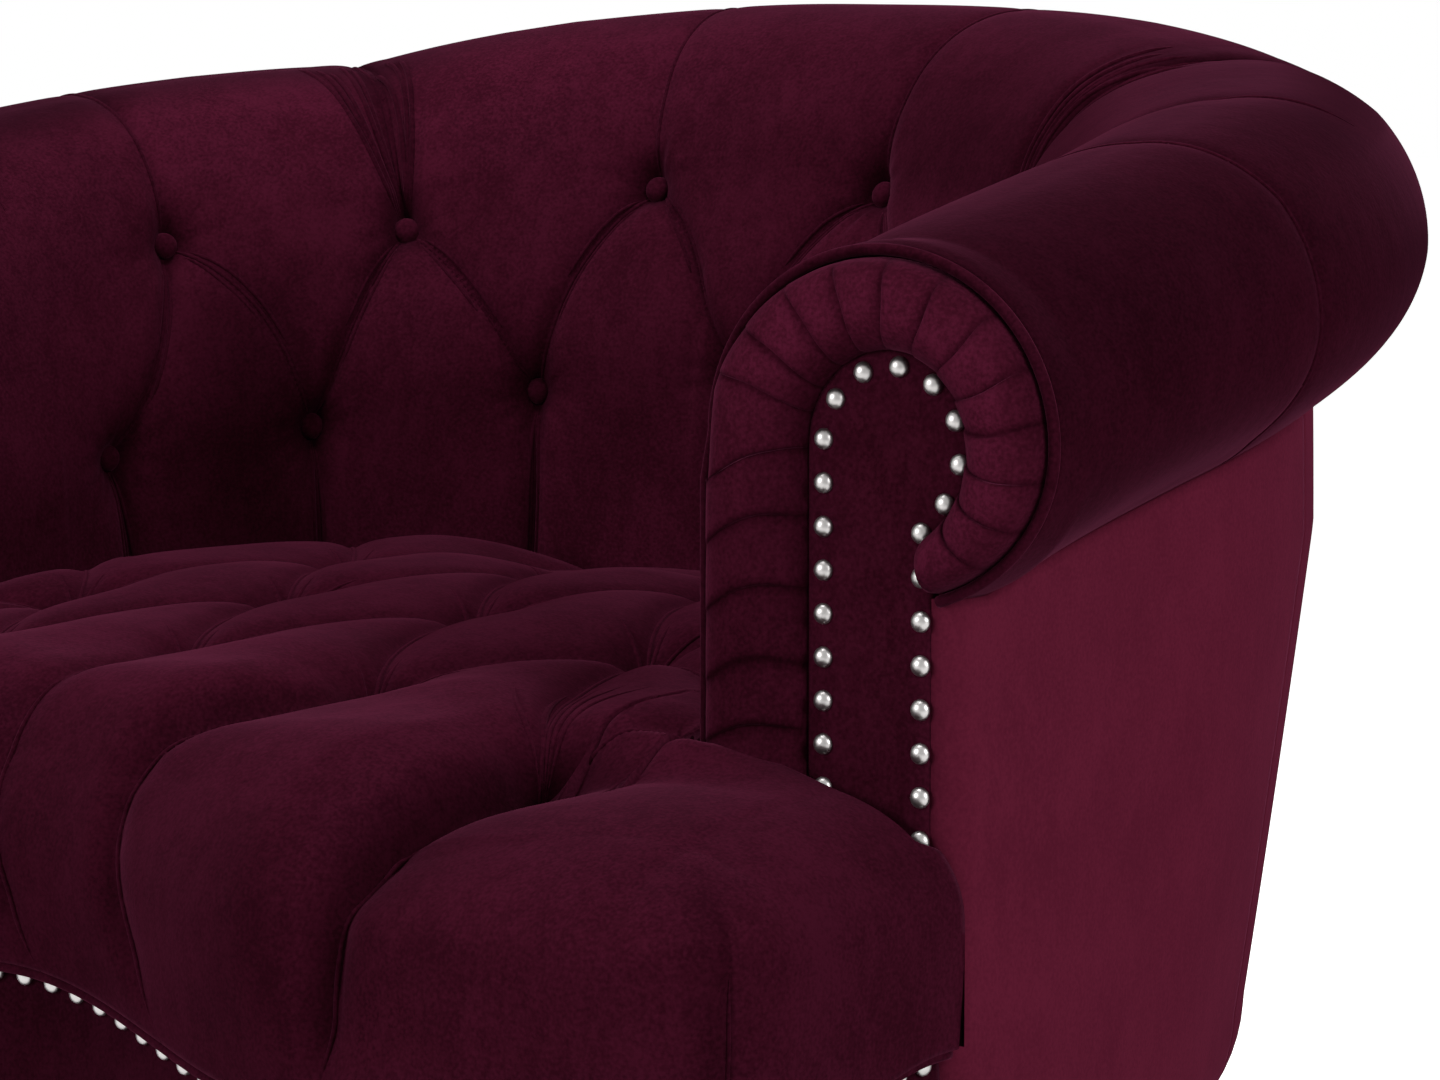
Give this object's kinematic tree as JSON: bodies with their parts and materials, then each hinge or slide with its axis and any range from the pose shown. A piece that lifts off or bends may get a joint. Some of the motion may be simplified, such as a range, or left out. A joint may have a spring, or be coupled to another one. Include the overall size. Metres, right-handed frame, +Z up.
{
  "type": "chesterfield armchair",
  "caption": "Low tub chesterfield armchair with rolled arms, deep buttoned back and arms, tufted seat with a curved front, nailed arm panels and turned feet.",
  "frame": {"origin": "on the floor, under the middle of the chair's bounding box", "axes": "+Z up, -Y towards the front of the seat, +X to the viewer's right when the chair is seen from the front: that is the side of the pieces named right, and the sitter's left hand"},
  "size_m": [1.1358, 0.9758, 0.8174],
  "materials": {
    "velvet": "burgundy velvet with a strong sheen",
    "velvet_recessed": "burgundy velvet, nap laid the other way",
    "nickel_nails": "polished domed nail heads",
    "dark_wood": "dark stained and lacquered",
    "beech": "planed, unfinished",
    "steel": "zinc plated",
    "webbing": "elastic webbing",
    "foam": "open cell foam",
    "lining": "black bonded lining"
  },
  "bodies": {
    "root": {"left_side_cover": "velvet", "right_side_cover": "velvet", "back_cover": "velvet", "left_arm_panel": "velvet_recessed", "right_arm_panel": "velvet_recessed", "left_arm_band": "velvet", "right_arm_band": "velvet", "left_arm_welt": "velvet", "right_arm_welt": "velvet", "left_arm_board": "beech", "right_arm_board": "beech", "left_arm_nails": "nickel_nails", "right_arm_nails": "nickel_nails", "seat_cushion": "velvet", "seat_welt": "velvet", "front_border": "velvet_recessed", "front_rail": "beech", "border_nails": "nickel_nails", "upper_button_1": "velvet", "upper_button_2": "velvet", "upper_button_3": "velvet", "upper_button_4": "velvet", "upper_button_5": "velvet", "upper_button_6": "velvet", "lower_button_1": "velvet", "lower_button_2": "velvet", "lower_button_3": "velvet", "lower_button_4": "velvet", "lower_button_5": "velvet", "lower_button_6": "velvet", "lower_button_7": "velvet", "left_arm_pad": "velvet", "right_arm_pad": "velvet", "back_pad": "velvet", "top_rail": "beech", "back_rail": "beech", "left_side_rail": "beech", "right_side_rail": "beech", "left_back_post": "beech", "right_back_post": "beech", "left_corner_post": "beech", "right_corner_post": "beech", "left_arm_post": "beech", "right_arm_post": "beech", "seat_strap_1": "webbing", "seat_strap_2": "webbing", "seat_strap_3": "webbing", "seat_deck": "foam", "dust_cover": "lining", "left_front_foot": "dark_wood", "right_front_foot": "dark_wood", "left_front_foot_plate": "steel", "right_front_foot_plate": "steel", "left_back_foot": "dark_wood", "right_back_foot": "dark_wood", "left_back_foot_plate": "steel", "right_back_foot_plate": "steel"}
  },
  "joints": []
}
